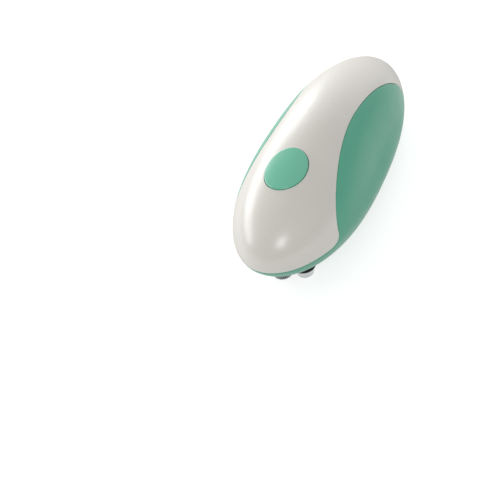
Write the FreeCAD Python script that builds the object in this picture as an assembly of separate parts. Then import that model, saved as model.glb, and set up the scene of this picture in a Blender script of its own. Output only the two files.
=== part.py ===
import FreeCAD, Part
import math
import os
from FreeCAD import Vector

os.makedirs("parts", exist_ok=True)

# Handheld electric can opener. Millimetres. +X is the nose, where the cutter
# sits, +Z is up, and z = 0 is the lowest point, the cap under the cutter.
# The egg-shaped body is tipped nose-up over its flat underside.

# ---- driving dimensions: body ----
body_length = 186.0
body_width = 67.8
rise_above = 35.0          # egg centre to its highest point
drop_below = 26.7          # egg centre to its lowest point, before the flat cut
nose_fullness = 0.103      # how much wider the nose half is than the tail half
nose_lift = 0.038          # how much higher the nose half is
plan_power = 2.467         # squareness of the outline seen from above
side_power = 2.1           # squareness of the outline seen from the side
body_tilt = 4.5            # degrees, nose up
body_centre_z = 27.0
underside_z = 11.0
underside_edge = 2.0       # rounding of the underside's edge
wall = 2.2
floor = 2.4
seam_gap = 0.15
seam_rounding = 0.3

# ---- driving dimensions: seam between the two shells, in the egg's own frame ----
seam_base_z = -4.0
arch_centre_x = 1.0
arch_top_z = 29.0
arch_front = 60.5
arch_rear = 67.0
seam_blend = 6.0

# ---- driving dimensions: side grips ----
scoop_depth = 3.2
scoop_start_z = 0.5

# ---- driving dimensions: button and its board ----
button_x = 49.8            # along the egg, from its centre
button_length = 28.4
button_width = 22.0
button_gap = 0.35
button_proud = 0.7
button_travel = 1.2
button_skirt = 5.6
flange_width = 1.2
flange_thick = 1.0
stem_radius = 1.8
board_depth = 15.5         # from the button's top to the underside of its board
board_length = 24.0
board_width = 34.0
board_thick = 1.6
post_side = 14.5           # board posts, to each side of the button's centre
switch_side = 6.4
switch_height = 4.0
post_radius = 2.2

# ---- driving dimensions: cutting mechanism ----
cutter_x = 58.5
cutter_y = 4.3
cutter_radius = 6.0
drive_radius = 5.0
drive_to_cutter = 11.5
pinch_direction = -55.0    # degrees, from the cutter to the drive wheel
arm_length = 19.0
plate_thick = 1.5
arm_thick = 1.6
arm_gap = 0.1
stamped_edge = 0.3
cap_radius = 4.5
cap_height = 4.5
disc_thick = 1.2
drive_wheel_height = 3.7
drive_serrations = 24
magnet_radius = 4.5
magnet_height = 3.2
magnet_face_z = 4.0
magnet_x = 61.5
magnet_y = -15.5
magnet_edge = 0.3

# ---- driving dimensions: gear train ----
motor_x = 16.0
motor_radius = 11.9
motor_length = 27.0
gear_layer = 2.4
layer_gap = 0.35
gearbox_plate = 1.2
pin_radius = 1.0
shaft_radius = 2.5
running_clearance = 0.05
gear_teeth = [(10, 44, 0.50), (11, 38, 0.60), (11, 34, 0.70), (10, 28, 0.90)]
pressure_angle = 25.0
backlash = 0.12            # share of the tooth pitch

# ---- driving dimensions: batteries ----
cell_radius = 7.1
cell_length = 49.2
cell_nub = 1.0
cell_spacing = 14.5
bay_front_x = -3.0
bay_length = 55.0
bay_wall = 2.0
door_front_x = -2.0
door_half_width = 17.0
door_clearance = 0.2
tail_web_x = -61.0
tail_web = 2.4

# ---- values worked out from the driving dimensions ----
floor_top = underside_z + floor
drive_x = cutter_x + drive_to_cutter * math.cos(math.radians(pinch_direction))
drive_y = cutter_y + drive_to_cutter * math.sin(math.radians(pinch_direction))
swing_direction = math.radians(pinch_direction + 90.0)
pivot_x = cutter_x - arm_length * math.cos(swing_direction)
pivot_y = cutter_y - arm_length * math.sin(swing_direction)
plate_z = underside_z - plate_thick
arm_z = plate_z - arm_gap - arm_thick
lower_plate_top = floor_top + gearbox_plate
layer_pitch = gear_layer + layer_gap
upper_plate_z = lower_plate_top + layer_gap + len(gear_teeth) * layer_pitch
upper_plate_top = upper_plate_z + gearbox_plate
up = Vector(0, 0, 1)


# ---- small tools ----
def save(name, *solids):
    """Write one named node; a group of solids stays a group."""
    shape = solids[0] if len(solids) == 1 else Part.makeCompound(list(solids))
    shape.exportStep("parts/" + name + ".step")


def rod(x, y, low, high, radius):
    return Part.makeCylinder(radius, high - low, Vector(x, y, low))


def tube(x, y, low, high, radius, bore):
    return rod(x, y, low, high, radius).cut(rod(x, y, low - 1, high + 1, bore))


def block(x0, x1, y0, y1, z0, z1):
    return Part.makeBox(x1 - x0, y1 - y0, z1 - z0, Vector(x0, y0, z0))


def prism(corners, low, high, rounding=0.0):
    """An upright slab with the given plan corners, its upright edges rounded."""
    points = [Vector(x, y, low) for x, y in corners]
    face = Part.Face(Part.makePolygon(points + points[:1]))
    solid = face.extrude(Vector(0, 0, high - low))
    if rounding > 0:
        upright = [e for e in solid.Edges if abs(e.tangentAt(e.FirstParameter).z) > 0.9]
        solid = solid.makeFillet(rounding, upright)
    return solid


def drill(solid, x, y, radius, low=0.0, high=60.0):
    """Cut an upright round hole, right through unless its ends are given."""
    return solid.cut(rod(x, y, low, high, radius))


def round_level(solid, z, radius):
    """Round the edges that lie level at height z."""
    level_edges = []
    for edge in solid.Edges:
        box = edge.BoundBox
        if abs(box.ZMax - z) < 0.05 and box.ZLength < 0.05:
            level_edges.append(edge)
    return solid.makeFillet(radius, level_edges)


def coil(centre, axis, radius, height, turns, wire):
    """A spring along axis, its wire drawn as a fine polygon."""
    helix = Part.makeHelix(height / turns, height, radius)
    corners = []
    for i in range(12):
        angle = math.radians(30 * i)
        corners.append(Vector(radius + wire * math.cos(angle), 0, wire * math.sin(angle)))
    section = Part.makePolygon(corners + corners[:1])
    spring = Part.Wire(helix).makePipeShell([section], True, True)
    spring.Placement = FreeCAD.Placement(centre, FreeCAD.Rotation(up, axis))
    return spring


def pan_screw(x, y, seat_z, head, shank, length, head_height=1.4, up_sign=1):
    """A cross-head screw: head below seat_z and shank above it when up_sign is 1."""
    direction = Vector(0, 0, up_sign)
    seat = Vector(x, y, seat_z)
    top = seat - direction * head_height
    screw = Part.makeCylinder(head, head_height, seat, direction * -1)
    rim = [e for e in screw.Edges if e.Closed and abs(e.CenterOfMass.z - top.z) < 0.01]
    screw = screw.makeFillet(head_height * 0.4, rim)
    screw = screw.fuse(Part.makeCylinder(shank, length, seat, direction))
    for turn in (0, 90):
        slot = Part.makeBox(head, 0.5, 0.8, Vector(-head / 2, -0.25, -0.4))
        slot.rotate(Vector(), up, turn)
        slot.translate(top)
        screw = screw.cut(slot)
    return screw


# ---- the egg ----
def scoop(x, z):
    """How deep the side grip is hollowed into the plain egg at x, z."""
    reach = arch_front if x > arch_centre_x else arch_rear
    blend_z = seam_base_z + seam_blend
    across = (x - arch_centre_x) / reach
    along = (z - blend_z) / (arch_top_z - blend_z)
    inside = max(1 - across ** 2 - max(along, 0.0) ** 2, 0.0) ** 2
    lower_edge = 0.5 + 0.5 * math.tanh((z - scoop_start_z) / 4.0)
    return scoop_depth * inside * lower_edge


def egg(inset=0.0, with_grips=False, join=90, stations=30, around=48, wrap=10):
    """The body's closed outer form, moved inwards by inset; its surface closes on the
    lengthwise line at the angle join, 90 for the top and -90 for the bottom, and is drawn
    from points that wrap on past that line so that it stays smooth there."""
    rows = []
    for i in range(stations + 1):
        u = math.sin(math.radians(-90 + 180 * i / stations))
        x = (body_length / 2 - inset) * u
        plan = math.sqrt(max(1 - abs(u) ** plan_power, 0.0))
        side = math.sqrt(max(1 - abs(u) ** side_power, 0.0))
        half_width = (body_width / 2 - inset) * plan * (1 + nose_fullness * u)
        row = []
        for j in range(-wrap, around + wrap + 1):
            angle = math.radians(join + 360 * (j % around) / around)
            c, s = math.cos(angle), math.sin(angle)
            reach = rise_above if s > 0 else drop_below
            z = (reach - inset) * side * (1 + nose_lift * u) * s
            y = half_width * c
            if with_grips:
                fade = (1 - (1 - abs(c)) ** 4) * min(plan * 2.0, 1.0)
                y -= scoop(x, z) * fade * math.copysign(1, c)
            row.append(Vector(x, y, z))
        rows.append(row)
    surface = Part.BSplineSurface()
    surface.interpolate(rows)
    turns = surface.getVKnots()
    first_u, last_u, first_v, last_v = surface.bounds()
    surface.segment(first_u, last_u, turns[wrap], turns[wrap + around])
    solid = Part.Solid(Part.Shell([surface.toShape()]))
    if solid.Volume < 0:
        solid.reverse()
    return place_body(solid)


def place_body(shape):
    """From the egg's own frame to the opener's: tipped nose-up and lifted."""
    shape.rotate(Vector(), Vector(0, 1, 0), -body_tilt)
    shape.translate(Vector(0, 0, body_centre_z))
    return shape


def body_point(x, y, z):
    tilt = math.radians(body_tilt)
    lift = x * math.sin(tilt) + z * math.cos(tilt)
    return Vector(x * math.cos(tilt) - z * math.sin(tilt), y, body_centre_z + lift)


def below_seam(offset):
    """Everything under the seam line, pulled in by offset: base, blends and arch."""
    far = body_length
    blend_z = seam_base_z + seam_blend
    base = seam_base_z - offset
    centre = Vector(arch_centre_x, 0, blend_z)
    height = arch_top_z - blend_z - offset
    edges = []
    ends = []
    for side, reach in ((1, arch_front), (-1, arch_rear)):
        foot = Vector(arch_centre_x + side * (reach - offset), 0, blend_z)
        top = Vector(arch_centre_x, 0, blend_z + height)
        blend_centre = Vector(arch_centre_x + side * (reach + seam_blend), 0, blend_z)
        radius = seam_blend + offset
        rest = Vector(blend_centre.x, 0, base)
        middle = blend_centre + Vector(-side * radius, 0, -radius) * math.sqrt(0.5)
        if reach - offset > height:
            major, minor = foot, top
        else:
            major, minor = top, foot
        ellipse = Part.Ellipse(major, minor, centre)
        start = ellipse.parameter(foot)
        end = ellipse.parameter(top)
        arc = Part.ArcOfEllipse(ellipse, min(start, end), max(start, end))
        if max(start, end) - min(start, end) > math.pi:
            arc = Part.ArcOfEllipse(ellipse, max(start, end), min(start, end) + 2 * math.pi)
        edges += [arc.toShape(), Part.Arc(foot, middle, rest).toShape()]
        edge_of_block = Vector(side * far, 0, base)
        edges.append(Part.makeLine(rest, edge_of_block))
        ends.append(edge_of_block)
    low = [Vector(p.x, 0, -far) for p in ends]
    edges.append(Part.makeLine(ends[0], low[0]))
    edges.append(Part.makeLine(low[0], low[1]))
    edges.append(Part.makeLine(low[1], ends[1]))
    wire = Part.Wire(Part.__sortEdges__(edges))
    solid = Part.Face(wire).extrude(Vector(0, 2 * far, 0))
    solid.translate(Vector(0, -far, 0))
    return place_body(solid)


def round_seam(shape):
    """Round the outer edge that a half of the egg shows along the seam."""
    seam_edges = []
    for edge in shape.Edges:
        middle = edge.valueAt((edge.FirstParameter + edge.LastParameter) / 2)
        if abs(middle.y) > 1 and middle.z > underside_z + underside_edge:
            seam_edges.append(edge)
    return shape.makeFillet(seam_rounding, seam_edges)


def above(z):
    """Everything above the level z."""
    return block(-body_length, body_length, -body_length, body_length, z, z + body_length)


# ---- head: the flat boss under the nose that carries the mechanism ----
head_corners = [
    (36, -21), (64, -21.5), (73.5, -12), (73.5, -1), (66, 9.5), (36, 9.5)]
head_rounding = 5.0
head_edge = 0.8
head_top = 20.0


def head(inset=0.0, low=underside_z):
    corners = []
    middle = Vector(55, -6, 0)
    for x, y in head_corners:
        corner = Vector(x, y, 0)
        corners.append(corner + (middle - corner).normalize() * inset * 1.3)
    plan = [(c.x, c.y) for c in corners]
    return prism(plan, low, head_top, head_rounding - inset)


# ---- shells ----
outer = egg()
inner = egg(wall)
outer_grips = egg(0.0, True)
inner_grips = egg(wall, True)

# screws that hold the shells together: x, y, level where the shells meet, head seat
housing_screws = [
    (84.0, 0.0, 30.0, 25.0), (3.0, -11.5, 30.0, 13.6),
    (3.0, 11.5, 30.0, 13.6), (-70.0, 0.0, 21.0, 15.6)]
screw_post_radius = 2.9
screw_radius = 1.25
screw_head = 2.4
screw_grip = 8.0           # thread taken up in the upper shell
small_head = 1.9           # the small screws: board, plates and pillars
pilot_radius = 0.9

# the button's own frame: centre on the top surface, axis along its normal
station = button_x / (body_length / 2)
button_rise = rise_above * math.sqrt(1 - station ** side_power) * (1 + nose_lift * station)
station_step = 0.01
next_station = station + station_step
next_rise = rise_above * math.sqrt(1 - next_station ** side_power)
next_rise *= 1 + nose_lift * next_station
button_slope = math.atan((next_rise - button_rise) / (station_step * body_length / 2))
button_lean = -math.degrees(button_slope) - body_tilt
button_centre = body_point(button_x, 0, button_rise)
press_axis = Vector(math.sin(math.radians(button_lean)), 0, math.cos(math.radians(button_lean)))


def on_button(shape):
    """Move a shape made about the origin into the button's frame."""
    shape.rotate(Vector(), Vector(0, 1, 0), button_lean)
    shape.translate(button_centre)
    return shape


def oval(extra, low, high):
    """An oval slab in the button's frame, larger than the button by extra all round."""
    ellipse = Part.Ellipse(Vector(), button_length / 2 + extra, button_width / 2 + extra)
    slab = Part.Face(Part.Wire(ellipse.toShape())).extrude(Vector(0, 0, high - low))
    slab.translate(Vector(0, 0, low))
    return on_button(slab)


# the upper shell: top of the egg, the button's opening, screw posts and board posts
board_top = board_thick - board_depth
upper_shell = round_seam(outer.cut(below_seam(0.0))).cut(inner)
for x, y, level, seat in housing_screws:
    post = rod(x, y, level, body_centre_z + rise_above, screw_post_radius)
    upper_shell = upper_shell.fuse(post.common(outer))
for side in (-1, 1):
    post = on_button(rod(0, side * post_side, board_top, 0, post_radius))
    upper_shell = upper_shell.fuse(post.common(outer))
    pilot = rod(0, side * post_side, board_top, board_top + 5, pilot_radius)
    upper_shell = upper_shell.cut(on_button(pilot))
upper_shell = upper_shell.cut(oval(button_gap, -button_skirt, button_skirt))
for x, y, level, seat in housing_screws:
    upper_shell = drill(upper_shell, x, y, screw_radius, level - 1, level + screw_grip)
save("upper_shell", upper_shell)

# the lower shell: grips, flat underside, head boss, battery opening
egg_bottom = outer_grips.common(above(underside_z))
egg_bottom = round_level(egg_bottom, underside_z, underside_edge)
hollow = inner_grips.common(above(floor_top)).fuse(head(wall, floor_top))
boss = round_level(head(), underside_z, head_edge)
lower_shell = round_seam(egg_bottom.common(below_seam(seam_gap))).fuse(boss).cut(hollow)
web_low = floor_top + 2 * door_clearance
web = block(-body_length, tail_web_x, -body_width, body_width, web_low, web_low + tail_web)
lower_shell = lower_shell.fuse(web.common(inner_grips).common(below_seam(seam_gap)))
for x, y, level, seat in housing_screws:
    foot = web_low if x < tail_web_x else underside_z
    post = rod(x, y, foot, level - seam_gap, screw_post_radius).common(outer_grips)
    lower_shell = lower_shell.fuse(post)
    lower_shell = drill(lower_shell, x, y, screw_radius + 0.15)
    lower_shell = drill(lower_shell, x, y, screw_head + 0.2, 0, seat)
door_room = block(
    -body_length, door_front_x, -door_half_width, door_half_width, 0, web_low)
lower_shell = lower_shell.cut(door_room)
tongue_low = underside_z + 1.0
tongue_high = tongue_low + 0.8
tongue = 1.0
for side in (-1, 1):
    groove_side = door_half_width + tongue + door_clearance
    y0, y1 = sorted((side * (door_half_width - 1), side * groove_side))
    groove = block(
        -body_length, door_front_x - 2, y0, y1,
        tongue_low - door_clearance, tongue_high + door_clearance)
    lower_shell = lower_shell.cut(groove)

# screws of the mechanism plate, and the holes that the drive and the pivot need
plate_screws = [(39.2, -18.2), (39.8, 5.4), (66.2, 3.6)]
bush_radius = 4.0
pivot_radius = 2.0
for x, y in plate_screws:
    lower_shell = drill(lower_shell, x, y, pilot_radius, 0, floor_top + 1)
lower_shell = drill(lower_shell, drive_x, drive_y, bush_radius, 0, floor_top + 1)
lower_shell = drill(lower_shell, pivot_x, pivot_y, pivot_radius, 0, floor_top + 1)
save("lower_shell", lower_shell)

# the battery door: slides off rearwards, its end part of the tail's rounding
edge_y = door_half_width - door_clearance
door_front = door_front_x - door_clearance
door = egg_bottom.common(
    block(-body_length, door_front, -edge_y, edge_y, underside_z, floor_top))
for side in (-1, 1):
    y0, y1 = sorted((side * (edge_y - 1), side * (door_half_width + tongue)))
    door = door.fuse(block(-60, door_front - 3, y0, y1, tongue_low, tongue_high))
thumb_groove_x = -16.0
thumb_groove_pitch = 3.0
thumb_groove_half = 0.8
thumb_groove_depth = 0.6
thumb_groove_side = 7.0
for i in range(5):
    x = thumb_groove_x - thumb_groove_pitch * i
    door = door.cut(block(
        x - thumb_groove_half, x + thumb_groove_half, -thumb_groove_side, thumb_groove_side,
        0, underside_z + thumb_groove_depth))
save("battery_door", door)

# ---- battery bay ----
bay_rear_x = bay_front_x - bay_length
lower_cell_z = floor_top + 0.4 + cell_radius
upper_cell_z = lower_cell_z + cell_spacing
tray_fit = 0.3
tray_rooms = [egg(wall + tray_fit, True), egg(wall + tray_fit)]
tray = None
for x0, low in ((bay_front_x, floor_top), (bay_rear_x - bay_wall, floor_top + 0.4)):
    end_wall = block(x0, x0 + bay_wall, -14.6, 14.6, low, upper_cell_z + 9)
    for room in tray_rooms:
        end_wall = end_wall.common(room)
    tray = end_wall if tray is None else tray.fuse(end_wall)
middle_z = (lower_cell_z + upper_cell_z) / 2
spine_length = bay_length + 2 * bay_wall
spine = Part.makeCylinder(
    2.4, spine_length, Vector(bay_rear_x - bay_wall, 0, middle_z), Vector(1, 0, 0))
valley_z = upper_cell_z + 5.6
top_bar = block(bay_rear_x - bay_wall, bay_front_x + bay_wall, -2, 2, valley_z, valley_z + 3)
tray = tray.fuse(spine).fuse(top_bar)
save("battery_tray", tray)

contact = 0.4
spring_gap = bay_length - 2 * contact - cell_length - cell_nub
cells = []
springs = []
plates = []
for level, row_z in enumerate((lower_cell_z, upper_cell_z)):
    for wall_x in (bay_rear_x, bay_front_x - contact):
        plates.append(block(wall_x, wall_x + contact, -12.5, 12.5, row_z - 4.5, row_z + 4.5))
    for side in (-1, 1):
        y = side * cell_spacing / 2
        nub_first = (side > 0) == (level == 0)
        forward = Vector(1, 0, 0) if nub_first else Vector(-1, 0, 0)
        nub_wall = bay_front_x - contact if nub_first else bay_rear_x + contact
        shoulder = Vector(nub_wall, y, row_z) - forward * cell_nub
        body = Part.makeCylinder(cell_radius, cell_length, shoulder, forward * -1)
        ends = [e for e in body.Edges if e.Closed]
        body = body.makeFillet(0.6, ends)
        nub = Part.makeCylinder(2.7, cell_nub, shoulder, forward)
        cells.append(body.fuse(nub))
        foot = shoulder - forward * (cell_length + spring_gap)
        wire = 0.3
        start = foot + forward * wire
        springs.append(coil(start, forward, 3.0, spring_gap - 2 * wire, 3, wire))
save("battery_cells", *cells)
save("contact_springs", *springs)
save("contact_plates", *plates)

# ---- power button ----
button = egg(-button_proud, join=-90).common(oval(0.0, -button_skirt, button_skirt))
top_rim = []
for edge in button.Edges:
    offset = edge.CenterOfMass - button_centre
    if offset.dot(press_axis) > -3.0 and edge.Length > button_width:
        top_rim.append(edge)
button = button.makeFillet(0.6, top_rim)
button = button.fuse(oval(flange_width, -button_skirt - flange_thick, -button_skirt))
switch_top = board_top + switch_height
stem_tip = switch_top - 0.5
stem_top = -button_skirt - flange_thick
button = button.fuse(on_button(rod(0, 0, stem_tip, stem_top, stem_radius)))
save("power_button", button)

board = block(
    -board_length / 2, board_length / 2, -board_width / 2, board_width / 2,
    -board_depth, board_top)
for side in (-1, 1):
    board = drill(board, 0, side * post_side, pilot_radius, -board_depth - 1, 0)
save("circuit_board", on_button(board))

half = switch_side / 2
switch = block(-half, half, -half, half, board_top, switch_top)
well = stem_tip - button_travel - 0.6
switch = drill(switch, 0, 0, stem_radius + 0.15, well, 0)
save("micro_switch", on_button(switch))

spring_wire = 0.25
spring_height = stem_top - switch_top - 2 * spring_wire
spring_foot = button_centre + press_axis * (switch_top + spring_wire)
save("button_spring", coil(spring_foot, press_axis, 2.6, spring_height, 3, spring_wire))
board_screws = []
for side in (-1, 1):
    screw = pan_screw(0, side * post_side, -board_depth, small_head, pilot_radius, 5.0, 1.2)
    board_screws.append(on_button(screw))
save("board_screws", *board_screws)

# ---- gear train ----
def centre_distance(stage):
    pinion, wheel, module = gear_teeth[stage]
    return (pinion + wheel) * module / 2


def meet(start, start_reach, end, end_reach, side):
    """The point at the given reaches from start and end, on the chosen side."""
    span = end - start
    along = (start_reach ** 2 - end_reach ** 2 + span.Length ** 2) / (2 * span.Length)
    aside = math.sqrt(start_reach ** 2 - along ** 2)
    ahead = Vector(span.x, span.y, 0).normalize()
    return start + ahead * along + Vector(-ahead.y, ahead.x, 0) * aside * side


def toothed(x, y, low, high, teeth, module, phase):
    """An involute gear blank; phase is the angle of one tooth's middle, in degrees."""
    pressure = math.radians(pressure_angle)
    pitch_radius = teeth * module / 2
    base = pitch_radius * math.cos(pressure)
    root = pitch_radius - 1.05 * module
    tip = pitch_radius + 0.8 * module
    half_tooth = math.pi / (2 * teeth) * (1 - backlash)
    start = max(base, root)
    flank = [(root, half_tooth + math.tan(pressure) - pressure)]
    for step in range(4):
        radius = start + (tip - start) * step / 3
        roll = math.acos(min(base / radius, 1.0))
        spread = half_tooth + math.tan(pressure) - pressure - math.tan(roll) + roll
        flank.append((radius, spread))
    points = []
    for tooth in range(teeth):
        middle = math.radians(phase) + 2 * math.pi * tooth / teeth
        outline = [(r, -a) for r, a in flank] + [(r, a) for r, a in reversed(flank)]
        for radius, spread in outline:
            angle = middle + spread
            point = (x + radius * math.cos(angle), y + radius * math.sin(angle))
            if not points or math.dist(point, points[-1]) > 0.01:
                points.append(point)
    return prism(points, low, high)


def meshed_phase(start, end, driver_teeth, driver_phase, follower_teeth):
    """The phase that puts the follower's teeth in the driver's gaps."""
    line = math.degrees(math.atan2(end.y - start.y, end.x - start.x))
    share = (line - driver_phase) * driver_teeth / 360
    return line + 180 + (share + 0.5) * 360 / follower_teeth


def layer_low(stage):
    return lower_plate_top + layer_gap + stage * layer_pitch


motor_axis = Vector(motor_x, 0, 0)
drive_axis = Vector(drive_x, drive_y, 0)
first_turn = math.radians(25.4)
second_turn = math.radians(-35.0)
gear_1_axis = motor_axis + Vector(math.cos(first_turn), math.sin(first_turn), 0) * centre_distance(0)
gear_2_axis = gear_1_axis + Vector(math.cos(second_turn), math.sin(second_turn), 0) * centre_distance(1)
gear_3_axis = meet(gear_2_axis, centre_distance(2), drive_axis, centre_distance(3), 1)
axes = [motor_axis, gear_1_axis, gear_2_axis, gear_3_axis, drive_axis]

motor_shaft_radius = 1.0
motor_base = upper_plate_top
teeth, wheel_teeth, module = gear_teeth[0]
phase = 0.0
low = layer_low(0)
pinion = toothed(motor_x, 0, low, low + gear_layer, teeth, module, phase)
save("motor_pinion", drill(pinion, motor_x, 0, motor_shaft_radius))
save("motor_shaft", rod(motor_x, 0, floor_top + 0.2, motor_base + 9.8, motor_shaft_radius))

hub_radius = 2.1
for stage in range(3):
    driver_teeth, wheel_teeth, module = gear_teeth[stage]
    axis = axes[stage + 1]
    wheel_phase = meshed_phase(axes[stage], axis, driver_teeth, phase, wheel_teeth)
    low = layer_low(stage)
    high = low + gear_layer
    gear = toothed(axis.x, axis.y, low, high, wheel_teeth, module, wheel_phase)
    next_teeth, next_wheel, next_module = gear_teeth[stage + 1]
    phase = 0.0
    top = layer_low(stage + 1) + gear_layer
    gear = gear.fuse(toothed(axis.x, axis.y, high, top, next_teeth, next_module, phase))
    hub = rod(axis.x, axis.y, lower_plate_top + 0.1, upper_plate_z - 0.1, hub_radius)
    gear = drill(gear.fuse(hub), axis.x, axis.y, pin_radius + running_clearance)
    save("gear_%d" % (stage + 1), gear)

pins = [rod(a.x, a.y, floor_top, upper_plate_top, pin_radius) for a in axes[1:4]]
save("gear_pins", *pins)

driver_teeth, wheel_teeth, module = gear_teeth[3]
output_phase = meshed_phase(gear_3_axis, drive_axis, driver_teeth, phase, wheel_teeth)
low = layer_low(3)
output = toothed(drive_x, drive_y, low, low + gear_layer, wheel_teeth, module, output_phase)
output = output.fuse(rod(drive_x, drive_y, low - 2.0, low, shaft_radius + 1.5))
save("output_gear", drill(output, drive_x, drive_y, shaft_radius))

# the two gearbox plates share an outline, held apart by four pillars
plate_corners = [
    (7, -17.5), (55, -17.5), (63, -14), (69.6, -9.5),
    (69.6, -1.5), (61.5, 6.5), (46, 17.3), (7, 17.3)]
pillars = [(11.0, -14.2), (11.0, 14.2), (49.0, -15.0), (38.5, 15.0)]
pillar_radius = 2.1


def gearbox_sheet(low):
    sheet = prism(plate_corners, low, low + gearbox_plate, 2.0)
    for a in axes[1:4]:
        sheet = drill(sheet, a.x, a.y, pin_radius)
    sheet = drill(sheet, drive_x, drive_y, shaft_radius + running_clearance)
    return drill(sheet, motor_x, 0, motor_shaft_radius + running_clearance)


lower_plate = gearbox_sheet(floor_top)
upper_plate = gearbox_sheet(upper_plate_z)
for x, y in pillars:
    upper_plate = drill(upper_plate, x, y, pilot_radius)
pillar_solids = []
pillar_screws = []
for x, y in pillars:
    pillar_solids.append(tube(x, y, lower_plate_top, upper_plate_z, pillar_radius, pilot_radius))
    pillar_screws.append(pan_screw(x, y, upper_plate_top, small_head, pilot_radius, 8.0, 1.2, -1))
save("gearbox_pillars", *pillar_solids)
save("gearbox_screws", *pillar_screws)

# the motor stands on the upper plate and is screwed from below
motor_screw_side = 8.0
cap_low = motor_base + motor_length - 5
motor = round_level(rod(motor_x, 0, motor_base, cap_low, motor_radius), motor_base, 1.0)
motor = drill(motor, motor_x, 0, motor_shaft_radius + running_clearance, 0, motor_base + 10)
motor_screws = []
for side in (-1, 1):
    y = side * motor_screw_side
    motor_screws.append(pan_screw(motor_x, y, upper_plate_z, 1.8, pilot_radius, 4.0, 1.1))
    motor = drill(motor, motor_x, y, pilot_radius, 0, upper_plate_z + 4.0)
    upper_plate = drill(upper_plate, motor_x, y, pilot_radius)
save("motor_can", motor)
save("motor_screws", *motor_screws)
save("gearbox_lower_plate", lower_plate)
save("gearbox_upper_plate", upper_plate)
cap_top = cap_low + 3.5
end_cap = round_level(rod(motor_x, 0, cap_low, cap_top, motor_radius), cap_top, 0.6)
end_cap = end_cap.fuse(rod(motor_x, 0, cap_top, motor_base + motor_length, 4.0))
save("motor_end_cap", end_cap)
terminals = []
for side in (-1, 1):
    y = side * 7.5
    terminals.append(block(motor_x - 1.2, motor_x + 1.2, y - 0.25, y + 0.25, cap_top, cap_top + 3.5))
save("motor_terminals", *terminals)

# ---- cutting mechanism under the head ----
flange_height = 1.0
bush = tube(drive_x, drive_y, plate_z, floor_top, bush_radius, shaft_radius + running_clearance)
bush = bush.fuse(tube(drive_x, drive_y, plate_z - flange_height, plate_z,
                      bush_radius + 0.8, shaft_radius + running_clearance))
save("drive_bush", bush)
wheel_top = plate_z - flange_height - 0.15
wheel_low = wheel_top - drive_wheel_height
save("drive_shaft", rod(drive_x, drive_y, wheel_low, upper_plate_top + 0.6, shaft_radius))
serrated = []
for tooth in range(drive_serrations):
    for step, radius in ((0.0, drive_radius), (0.5, drive_radius - 0.55)):
        angle = 2 * math.pi * (tooth + step) / drive_serrations
        serrated.append((drive_x + radius * math.cos(angle), drive_y + radius * math.sin(angle)))
drive_wheel = prism(serrated, wheel_low, wheel_top)
save("drive_wheel", drill(drive_wheel, drive_x, drive_y, shaft_radius))
nut_radius = 3.2
nut_thick = 1.4
hexagon = []
for i in range(6):
    angle = math.radians(60 * i)
    hexagon.append((drive_x + nut_radius * math.cos(angle), drive_y + nut_radius * math.sin(angle)))
nut_low = wheel_low - nut_thick
save("drive_nut", round_level(prism(hexagon, nut_low, wheel_low), nut_low, 0.3))

plate = head(1.2, plate_z).cut(above(underside_z))
plate = round_level(plate, plate_z, stamped_edge)
plate = drill(plate, drive_x, drive_y, bush_radius)
plate = drill(plate, pivot_x, pivot_y, pivot_radius)
screws = []
for x, y in plate_screws:
    plate = drill(plate, x, y, pilot_radius)
    length = floor_top - plate_z - 0.1
    screws.append(pan_screw(x, y, plate_z, small_head, pilot_radius, length, 1.0))
save("mechanism_plate", plate)
save("plate_screws", *screws)

arm_pivot_end = 6.0
arm_cutter_end = 5.2
along = Vector(math.cos(swing_direction), math.sin(swing_direction), 0)
aside = Vector(-along.y, along.x, 0)
pivot_point = Vector(pivot_x, pivot_y, 0)
cutter_point = Vector(cutter_x, cutter_y, 0)
sides = [
    pivot_point + aside * arm_pivot_end, pivot_point - aside * arm_pivot_end,
    cutter_point - aside * arm_cutter_end, cutter_point + aside * arm_cutter_end]
arm_top = arm_z + arm_thick
arm = prism([(p.x, p.y) for p in sides], arm_z, arm_top)
arm = arm.fuse(rod(pivot_x, pivot_y, arm_z, arm_top, arm_pivot_end))
arm = arm.fuse(rod(cutter_x, cutter_y, arm_z, arm_top, arm_cutter_end)).removeSplitter()
arm = round_level(arm, arm_z, stamped_edge)
arm = drill(arm, pivot_x, pivot_y, pivot_radius + running_clearance)
axle_radius = 1.8
arm = drill(arm, cutter_x, cutter_y, axle_radius)
save("cutter_arm", arm)
pivot_head_top = arm_z - arm_gap
pivot_head_low = pivot_head_top - 1.4
pivot = rod(pivot_x, pivot_y, pivot_head_top, floor_top, pivot_radius)
pivot = pivot.fuse(rod(pivot_x, pivot_y, pivot_head_low, pivot_head_top, 3.4))
save("arm_pivot", round_level(pivot, pivot_head_low, 0.6))

axle_foot = 1.5
cap = round_level(rod(cutter_x, cutter_y, 0, cap_height, cap_radius), 0, 1.4)
save("cutter_cap", drill(cap, cutter_x, cutter_y, axle_radius, axle_foot))
save("cutter_axle", rod(cutter_x, cutter_y, axle_foot, arm_top, axle_radius))
disc_low = cap_height + 0.15
disc_high = disc_low + disc_thick
edge_z = disc_low + disc_thick * 0.6
hub_top = arm_z - 0.15
bore = axle_radius + running_clearance
profile = [
    (bore, disc_low), (cap_radius, disc_low), (cutter_radius, edge_z - 0.05),
    (cutter_radius, edge_z + 0.05), (cap_radius, disc_high), (3.4, disc_high),
    (3.4, hub_top), (bore, hub_top)]
points = [Vector(r, 0, z) for r, z in profile]
cutter = Part.Face(Part.makePolygon(points + points[:1])).revolve(Vector(), up, 360)
cutter.translate(Vector(cutter_x, cutter_y, 0))
save("cutter_wheel", cutter)

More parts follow.
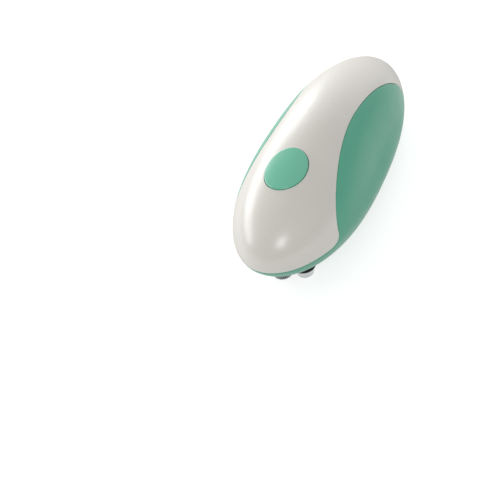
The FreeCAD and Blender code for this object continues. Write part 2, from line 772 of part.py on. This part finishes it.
holder_top = magnet_face_z + magnet_height
holder_low = magnet_face_z + 0.8
holder = rod(magnet_x, magnet_y, holder_low, plate_z, magnet_radius + 1.1)
holder = round_level(holder, holder_low, 0.5)
save("magnet_holder", drill(holder, magnet_x, magnet_y, magnet_radius, 0, holder_top))
magnet = rod(magnet_x, magnet_y, magnet_face_z, holder_top, magnet_radius)
save("lid_magnet", round_level(magnet, magnet_face_z, magnet_edge))

# ---- screws that close the housing ----
closing = []
for x, y, level, seat in housing_screws:
    length = level + screw_grip - seat - 0.5
    closing.append(pan_screw(x, y, seat, screw_head, screw_radius, length, 1.5))
save("housing_screws", *closing)
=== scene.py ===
import math

import bmesh
import bpy
from mathutils import Matrix, Vector


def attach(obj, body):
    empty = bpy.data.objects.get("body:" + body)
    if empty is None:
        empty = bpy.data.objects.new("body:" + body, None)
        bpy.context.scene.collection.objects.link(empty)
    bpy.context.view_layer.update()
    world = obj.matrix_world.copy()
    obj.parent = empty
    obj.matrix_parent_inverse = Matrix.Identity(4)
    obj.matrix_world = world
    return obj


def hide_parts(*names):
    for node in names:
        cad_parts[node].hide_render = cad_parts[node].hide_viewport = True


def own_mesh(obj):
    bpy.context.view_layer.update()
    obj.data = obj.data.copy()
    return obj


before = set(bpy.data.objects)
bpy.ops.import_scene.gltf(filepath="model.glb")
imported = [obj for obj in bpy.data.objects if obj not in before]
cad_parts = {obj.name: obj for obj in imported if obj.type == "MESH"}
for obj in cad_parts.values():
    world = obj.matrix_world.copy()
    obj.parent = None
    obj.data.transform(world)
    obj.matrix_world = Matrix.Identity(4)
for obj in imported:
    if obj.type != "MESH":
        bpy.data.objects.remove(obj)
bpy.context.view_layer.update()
scene = bpy.context.scene

# --- Upper shell: the white top half of the housing, one injection moulding in ABS filled
# with pearl pigment and buffed to a gloss. It closes down onto the lower shell and is
# screwed from below; its oval opening takes the power button.

MM = 0.001


def linear(code):
    """An sRGB hex code such as 'e8e5df' as a linear colour with alpha."""
    channels = [int(code[i:i + 2], 16) / 255 for i in (0, 2, 4)]
    curve = [c / 12.92 if c <= 0.04045 else ((c + 0.055) / 1.055) ** 2.4 for c in channels]
    return (*curve, 1.0)


def add_node(tree, kind, inputs=None, **options):
    """Add a node, set its options, and set or link its inputs."""
    node = tree.nodes.new(kind)
    for name, value in options.items():
        setattr(node, name, value)
    for socket, value in (inputs or {}).items():
        if isinstance(value, bpy.types.NodeSocket):
            tree.links.new(value, node.inputs[socket])
        else:
            node.inputs[socket].default_value = value
    return node


def new_finish(name, **shader):
    """A material; shader values such as Coat_Weight are set on the shader's own sockets."""
    material = bpy.data.materials.new(name)
    material.use_nodes = True
    surface = material.node_tree.nodes["Principled BSDF"]
    for socket, value in shader.items():
        surface.inputs[socket.replace("_", " ")].default_value = value
    return material, material.node_tree, surface


def lay(material, *nodes):
    """Give built pieces their finish."""
    for node in nodes:
        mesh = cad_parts[node].data
        mesh.materials.clear()
        mesh.materials.append(material)


flow_mm = 26    # mottling left where the melt ran through the mould
haze_mm = 7     # patches of slightly duller skin
sink_mm = 18    # slow ripple where thick places shrank
sink_depth_mm = 0.05
haze_spread = 0.03
noise_low, noise_high = 0.3, 0.7    # nearly all of a noise lies between these


def moulded(name, body, shade, grain_mm, grain_depth_mm, rough, **shader):
    """Moulded plastic: faint flow mottling, a fine mould grain and slow sink ripples."""
    material, tree, surface = new_finish(name, IOR=1.53, **shader)
    place = add_node(tree, "ShaderNodeTexCoord").outputs["Object"]
    flow = add_node(tree, "ShaderNodeTexNoise", {
        "Vector": place, "Scale": 1 / (flow_mm * MM), "Detail": 3.0, "Roughness": 0.6})
    colour = add_node(tree, "ShaderNodeMix", {
        "Factor": flow.outputs["Fac"], "A": linear(body), "B": linear(shade)}, data_type="RGBA")
    tree.links.new(colour.outputs["Result"], surface.inputs["Base Color"])
    haze = add_node(tree, "ShaderNodeTexNoise", {
        "Vector": place, "Scale": 1 / (haze_mm * MM), "Detail": 4.0})
    gloss = add_node(tree, "ShaderNodeMapRange", {
        "Value": haze.outputs["Fac"], "From Min": noise_low, "From Max": noise_high,
        "To Min": rough - haze_spread, "To Max": rough + haze_spread})
    tree.links.new(gloss.outputs["Result"], surface.inputs["Roughness"])
    ripple = add_node(tree, "ShaderNodeTexNoise", {
        "Vector": place, "Scale": 1 / (sink_mm * MM), "Detail": 1.0})
    sink = add_node(tree, "ShaderNodeBump", {
        "Height": ripple.outputs["Fac"], "Strength": 0.35, "Distance": sink_depth_mm * MM})
    grain = add_node(tree, "ShaderNodeTexNoise", {
        "Vector": place, "Scale": 1 / (grain_mm * MM), "Detail": 2.0})
    skin = add_node(tree, "ShaderNodeBump", {
        "Height": grain.outputs["Fac"], "Strength": 0.6, "Distance": grain_depth_mm * MM,
        "Normal": sink.outputs["Normal"]})
    tree.links.new(skin.outputs["Normal"], surface.inputs["Normal"])
    return material


# Pearl ABS: the mica pigment gives a warm satin white, and its fine glints are painted into the
# colour;
# the clear skin over it blurs the lamps into soft patches and thins out towards the outline.
# Its flakes are about 0.1 mm, drawn at 0.35 mm, and its grain of 0.1 mm is drawn at 0.6 mm.
flake_mm = 0.35
painted_glint_level = 0.10
pearl = moulded(
    "pearl_white_abs", "e3dfd6", "ddd8cf", 0.6, 0.002, 0.5, Coat_Roughness=0.28,
    Coat_IOR=1.8)
tree = pearl.node_tree
surface = tree.nodes["Principled BSDF"]
plain_colour = surface.inputs["Base Color"].links[0].from_socket
place = add_node(tree, "ShaderNodeTexCoord").outputs["Object"]
# Painted glints: random small cells of the base colour are painted whiter, standing in for light
# caught by the mica flakes.
flakes = add_node(tree, "ShaderNodeTexVoronoi", {
    "Vector": place, "Scale": 1 / (flake_mm * MM)})
painted_glint = add_node(tree, "ShaderNodeMapRange", {
    "Value": flakes.outputs["Color"], "To Min": 0.0, "To Max": painted_glint_level})
glint_painted_colour = add_node(tree, "ShaderNodeMix", {
    "Factor": painted_glint.outputs["Result"], "A": plain_colour, "B": linear("ffffff")},
    data_type="RGBA")
facing = add_node(tree, "ShaderNodeLayerWeight", {"Blend": 0.5}).outputs["Facing"]
rim = add_node(tree, "ShaderNodeMapRange", {
    "Value": facing, "From Min": 0.5, "From Max": 0.9}, interpolation_type="SMOOTHSTEP")
tree.links.new(glint_painted_colour.outputs["Result"], surface.inputs["Base Color"])
skin_weight = add_node(tree, "ShaderNodeMapRange", {
    "Value": rim.outputs["Result"], "To Min": 1.0, "To Max": 0.0})
tree.links.new(skin_weight.outputs["Result"], surface.inputs["Coat Weight"])
lay(pearl, "upper_shell")

# --- Lower shell: the mint bottom half, with the two hollowed side grips, the flat underside
# and the boss that carries the mechanism, moulded in one piece in ABS.

# Satin mint ABS: the spark-eroded mould leaves an even grain that keeps the grips dull and
# their highlights broad. Grain of about 0.1 mm is drawn at 0.3 mm.
mint = moulded(
    "satin_mint_abs", "61b79a", "5db296", 0.3, 0.004, 0.36, Specular_IOR_Level=0.34)
lay(mint, "lower_shell")

# --- Battery door: a flat mint panel that slides off rearwards on two tongues, moulded in the
# same satin ABS as the lower shell, with grooves for the thumb near its front edge.

lay(mint, "battery_door")

# --- Power button: an oval cap moulded in the same mint. A flange keeps it in its opening
# and a steel spring lifts it.

# Gloss mint ABS: the mould is polished, so the cap shines where the grips are dull.
gloss_mint = moulded(
    "gloss_mint_abs", "68caaa", "64c4a4", 0.4, 0.0015, 0.36, Coat_Weight=0.9,
    Coat_Roughness=0.2, Coat_IOR=1.75)
lay(gloss_mint, "power_button")

# --- Button spring: a short coil of drawn wire, standing on the switch around its plunger.
# It closes up as the button goes down; this copy of its coil, with doubled points merged,
# stands for the fixed one.

cloud_mm = 5    # slow change of tone in plating and rolled stock
smoothest, roughest = 0.8, 1.25    # the streaks' roughness as shares of the metal's own


def metal(name, body, shade, rough, streak_mm, depth_mm, axis_scale=(1, 1, 1)):
    """Bare or plated metal: clouded tone, fine streaks along one axis, uneven gloss."""
    material, tree, surface = new_finish(name, Metallic=1.0)
    place = add_node(tree, "ShaderNodeTexCoord").outputs["Object"]
    cloud = add_node(tree, "ShaderNodeTexNoise", {
        "Vector": place, "Scale": 1 / (cloud_mm * MM), "Detail": 4.0})
    tone = add_node(tree, "ShaderNodeMix", {
        "Factor": cloud.outputs["Fac"], "A": linear(body), "B": linear(shade)}, data_type="RGBA")
    tree.links.new(tone.outputs["Result"], surface.inputs["Base Color"])
    drawn = add_node(tree, "ShaderNodeMapping", {"Vector": place, "Scale": axis_scale})
    streaks = add_node(tree, "ShaderNodeTexNoise", {
        "Vector": drawn.outputs["Vector"], "Scale": 1 / (streak_mm * MM), "Detail": 3.0})
    gloss = add_node(tree, "ShaderNodeMapRange", {
        "Value": streaks.outputs["Fac"], "From Min": noise_low, "From Max": noise_high,
        "To Min": rough * smoothest, "To Max": rough * roughest})
    tree.links.new(gloss.outputs["Result"], surface.inputs["Roughness"])
    relief = add_node(tree, "ShaderNodeBump", {
        "Height": streaks.outputs["Fac"], "Strength": 0.5, "Distance": depth_mm * MM})
    tree.links.new(relief.outputs["Normal"], surface.inputs["Normal"])
    return material


# Drawn spring steel: bright and a little oily, with fine lines from the die.
spring_wire = metal("drawn_spring_steel", "b9bbbd", "8f9193", 0.22, 0.4, 0.001)
merge_distance = 0.0001 * MM

coil_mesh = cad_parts["button_spring"].data.copy()
coil_mesh.name = "button_coil"
shape = bmesh.new()
shape.from_mesh(coil_mesh)
bmesh.ops.remove_doubles(shape, verts=shape.verts, dist=merge_distance)
shape.to_mesh(coil_mesh)
shape.free()
coil_mesh.materials.clear()
coil_mesh.materials.append(spring_wire)
coil = bpy.data.objects.new("button_coil", coil_mesh)
scene.collection.objects.link(coil)
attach(coil, "housing")
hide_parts("button_spring")
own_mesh(coil)

# --- Button board: a small glass-epoxy board under the button, held to two posts by screws,
# with the sealed push switch soldered in its middle.

# Green solder mask: glossy, a little paler over the copper, with the glass weave under it.
track_mm = 9
weave_mm = 0.5
board_mask, tree, surface = new_finish("green_solder_mask", IOR=1.5)
place = add_node(tree, "ShaderNodeTexCoord").outputs["Object"]
tracks = add_node(tree, "ShaderNodeTexBrick", {
    "Vector": place, "Color1": linear("0d4a2a"), "Color2": linear("125a33"),
    "Mortar": linear("2f7d4a"), "Scale": 1 / (track_mm * MM), "Mortar Size": 0.05})
weave = add_node(tree, "ShaderNodeTexNoise", {"Vector": place, "Scale": 1 / (weave_mm * MM)})
relief = add_node(tree, "ShaderNodeBump", {
    "Height": weave.outputs["Fac"], "Strength": 0.3, "Distance": 0.01 * MM})
mask_gloss = add_node(tree, "ShaderNodeMapRange", {
    "Value": weave.outputs["Fac"], "To Min": 0.22, "To Max": 0.38})
tree.links.new(tracks.outputs["Color"], surface.inputs["Base Color"])
tree.links.new(mask_gloss.outputs["Result"], surface.inputs["Roughness"])
tree.links.new(relief.outputs["Normal"], surface.inputs["Normal"])
lay(board_mask, "circuit_board")

# Black ABS: dull and even, with a fine grain.
black = moulded("black_moulded_abs", "17181a", "1e1f21", 0.3, 0.004, 0.42)
lay(black, "micro_switch")

# Zinc plate: cool grey with a soft, slightly clouded shine.
zinc = metal("zinc_plated_steel", "b4b6b8", "9b9da1", 0.33, 0.5, 0.002)
lay(zinc, "board_screws")

# --- Motor: a bought-in can motor, its drawn steel can closed by a black end cap with two
# brass terminals. It stands on the upper gearbox plate with its pinion reaching down.

# Drawn can: grey steel with lines along its height, where it was pulled through the die.
drawn_can = metal("drawn_motor_can", "a5a7aa", "8c8e92", 0.3, 0.35, 0.002, (1, 1, 0.04))
lay(drawn_can, "motor_can")
lay(black, "motor_end_cap")

# Turned brass: warm yellow with fine tool marks.
brass = metal("turned_brass", "c9a45a", "b08a43", 0.26, 0.3, 0.002)
lay(brass, "motor_terminals", "motor_pinion")

# Ground shaft steel: nearly a mirror, with fine rings round the shaft.
ground = metal("ground_shaft_steel", "c4c6c8", "a9abae", 0.18, 0.25, 0.001, (1, 1, 8))
lay(ground, "motor_shaft")
lay(zinc, "motor_screws")

# --- Gearbox: two sheet plates held apart by brass pillars, with steel pins for the
# compound gears. The plates are blanked from strip and plated.

# Rolled zinc-plated sheet: dull silver, its grain running lengthways.
rolled = metal("rolled_zinc_sheet", "b2b5b8", "999ca0", 0.34, 0.3, 0.003, (0.05, 1, 1))
lay(rolled, "gearbox_lower_plate", "gearbox_upper_plate")
lay(brass, "gearbox_pillars")
lay(ground, "gear_pins")
lay(zinc, "gearbox_screws")

# --- Gears: three compound gears moulded in acetal, and the output gear on the drive shaft,
# which is pressed from steel powder and sintered to stand the load.

# Natural acetal: milky and waxy.
acetal = moulded("natural_acetal", "e6e1d2", "ddd7c6", 0.5, 0.003, 0.36)
lay(acetal, "gear_1", "gear_2", "gear_3")

# Sintered steel: dark and finely pitted, with little shine.
sintered = metal("sintered_steel", "6f7073", "57585b", 0.48, 0.25, 0.006)
lay(sintered, "output_gear")

# --- Drive: the hardened shaft runs in a brass bush and carries the serrated wheel that
# grips the inside of the can's rim, held by a plated nut.

lay(ground, "drive_shaft")
lay(brass, "drive_bush")

# Hardened tool steel: darker than the shaft, with grinding lines down the teeth.
hardened = metal("hardened_tool_steel", "8d8f92", "6f7174", 0.3, 0.3, 0.003, (1, 1, 0.1))
lay(hardened, "drive_wheel")
lay(zinc, "drive_nut")

# --- Mechanism plate: the stamped plate under the head, held to the boss by three plated
# screws.

# Brushed stainless: satin silver with streaks along the plate.
brushed = metal("brushed_stainless", "c0c2c3", "a6a8aa", 0.28, 0.35, 0.003, (0.04, 1, 1))
lay(brushed, "mechanism_plate")

# Polished nickel plate: a mirror with a faint ripple.
chrome = metal("polished_nickel_plate", "d4d5d6", "bfc1c3", 0.09, 1.2, 0.001)
lay(chrome, "plate_screws")

# --- Cutter: a stamped arm that swings on a headed pivot and carries the ground cutter
# wheel and its polished domed cap.

lay(brushed, "cutter_arm")
lay(chrome, "arm_pivot", "cutter_cap")
lay(ground, "cutter_axle")
lay(hardened, "cutter_wheel")

# --- Lid magnet: a nickel-plated disc pressed into a black moulded holder, which keeps the
# cut lid from falling.

lay(chrome, "lid_magnet")
lay(black, "magnet_holder")

# --- Batteries: a black tray with brass contact plates and coiled springs, holding four AA
# cells in plain dark wraps.

lay(black, "battery_tray")
lay(brass, "contact_plates")
lay(spring_wire, "contact_springs")

# Shrunk film: dark and slick, with a soft mottle; it leaves the steel ends of a cell bare.
film_mm = 4
end_facing = 0.8
wrap, tree, surface = new_finish("cell_wrap", IOR=1.5)
spot = add_node(tree, "ShaderNodeTexCoord")
across = add_node(tree, "ShaderNodeSeparateXYZ", {"Vector": spot.outputs["Normal"]})
endwise = add_node(tree, "ShaderNodeMath", {0: across.outputs["X"]}, operation="ABSOLUTE")
bare = add_node(tree, "ShaderNodeMath", {
    0: endwise.outputs["Value"], 1: end_facing}, operation="GREATER_THAN")
film = add_node(tree, "ShaderNodeTexNoise", {
    "Vector": spot.outputs["Object"], "Scale": 1 / (film_mm * MM), "Detail": 3.0})
film_tone = add_node(tree, "ShaderNodeMix", {
    "Factor": film.outputs["Fac"], "A": linear("2f353d"), "B": linear("39404a")}, data_type="RGBA")
skin = add_node(tree, "ShaderNodeMix", {
    "Factor": bare.outputs["Value"], "A": film_tone.outputs["Result"],
    "B": linear("b9bbbd")}, data_type="RGBA")
tree.links.new(skin.outputs["Result"], surface.inputs["Base Color"])
tree.links.new(bare.outputs["Value"], surface.inputs["Metallic"])
sheen = add_node(tree, "ShaderNodeMapRange", {
    "Value": film.outputs["Fac"], "To Min": 0.2, "To Max": 0.34})
tree.links.new(sheen.outputs["Result"], surface.inputs["Roughness"])
wrinkle = add_node(tree, "ShaderNodeBump", {
    "Height": film.outputs["Fac"], "Strength": 0.3, "Distance": 0.02 * MM})
tree.links.new(wrinkle.outputs["Normal"], surface.inputs["Normal"])
lay(wrap, "battery_cells")

# --- Housing screws: four plated pan-head screws, driven from below and sunk in their
# posts, that hold the lower shell to the upper one.

lay(zinc, "housing_screws")

# --- Studio: a white table under four soft lamps in a room that gives an even white fill.
# The table glows a little, so that it stays white around the object's shadow, in its
# reflections too.

view_back = Vector((0.7124, 0.3414, 0.6132))
view_right = Vector((-0.3160, 0.9361, -0.1541))
view_up = Vector((-0.6266, -0.0840, 0.7748))
body_centre = Vector((0, 0, 27 * MM))
stance = Matrix((view_right, view_up, view_back)).transposed()
camera_distance = 0.916
table_reach = 3.0
table_glow = 0.68
room_level = 0.54

table_mesh = bpy.data.meshes.new("table")
shape = bmesh.new()
bmesh.ops.create_grid(shape, x_segments=1, y_segments=1, size=table_reach)
shape.to_mesh(table_mesh)
shape.free()
table = bpy.data.objects.new("table", table_mesh)
scene.collection.objects.link(table)
paper, tree, surface = new_finish("white_table", Roughness=0.9)
surface.inputs["Base Color"].default_value = linear("cfcfcf")
ray = add_node(tree, "ShaderNodeLightPath")
direct = add_node(tree, "ShaderNodeMath", {
    0: ray.outputs["Is Camera Ray"], 1: ray.outputs["Is Glossy Ray"]}, operation="MAXIMUM")
seen = add_node(tree, "ShaderNodeMath", {
    0: direct.outputs["Value"], 1: ray.outputs["Is Transmission Ray"]}, operation="MAXIMUM")
glow = add_node(tree, "ShaderNodeMath", {0: seen.outputs["Value"], 1: table_glow},
    operation="MULTIPLY")
surface.inputs["Emission Color"].default_value = (1, 1, 1, 1)
tree.links.new(glow.outputs["Value"], surface.inputs["Emission Strength"])
table_mesh.materials.append(paper)

world = bpy.data.worlds.new("white_room")
scene.world = world
world.use_nodes = True
room = world.node_tree.nodes["Background"]
room.inputs["Color"].default_value = (1, 1, 1, 1)
room.inputs["Strength"].default_value = room_level


def add_softbox(name, aim, along, distance, wide, high, radiance):
    """A soft rectangular lamp; aim and along are in the camera's right, up and back."""
    lamp = bpy.data.lights.new(name, "AREA")
    lamp.shape = "RECTANGLE"
    lamp.size = wide
    lamp.size_y = high
    lamp.energy = radiance * math.pi * wide * high
    piece = bpy.data.objects.new(name, lamp)
    scene.collection.objects.link(piece)
    outward = (stance @ Vector(aim)).normalized()
    across = stance @ Vector(along)
    across = (across - outward * across.dot(outward)).normalized()
    turn = Matrix((across, outward.cross(across), outward)).transposed().to_4x4()
    piece.matrix_world = Matrix.Translation(body_centre + outward * distance) @ turn
    return piece


# The left strip lies low behind the left grip and draws the long band beside the button,
# the nose strip carries it round the nose, the rear one fills the tail, and the front one
# puts the soft spot on the nose.
add_softbox("left_strip", (-0.58, 0.66, -0.46), (-0.57, -0.29, 0.40), 0.8, 0.70, 0.30, 2.9)
add_softbox("nose_strip", (-0.92, 0.28, -0.02), (-0.25, -0.67, 0.70), 0.9, 0.70, 0.32, 2.8)
add_softbox("rear_softbox", (0.05, 0.80, -0.60), (1, 0, 0), 1.0, 1.0, 0.7, 0.7)
add_softbox("front_softbox", (0.0, 0.05, 1.0), (1, 0, 0), 1.1, 0.34, 0.34, 4.8)

camera_data = bpy.data.cameras.new("camera")
camera = bpy.data.objects.new("camera", camera_data)
scene.collection.objects.link(camera)
scene.camera = camera
viewpoint = body_centre + view_back * camera_distance
camera.matrix_world = Matrix.Translation(viewpoint) @ stance.to_4x4()
camera_data.lens = 123.4
camera_data.shift_x = -0.1516
camera_data.shift_y = -0.1766
camera_data.clip_start = 0.01
scene.view_settings.view_transform = "Standard"
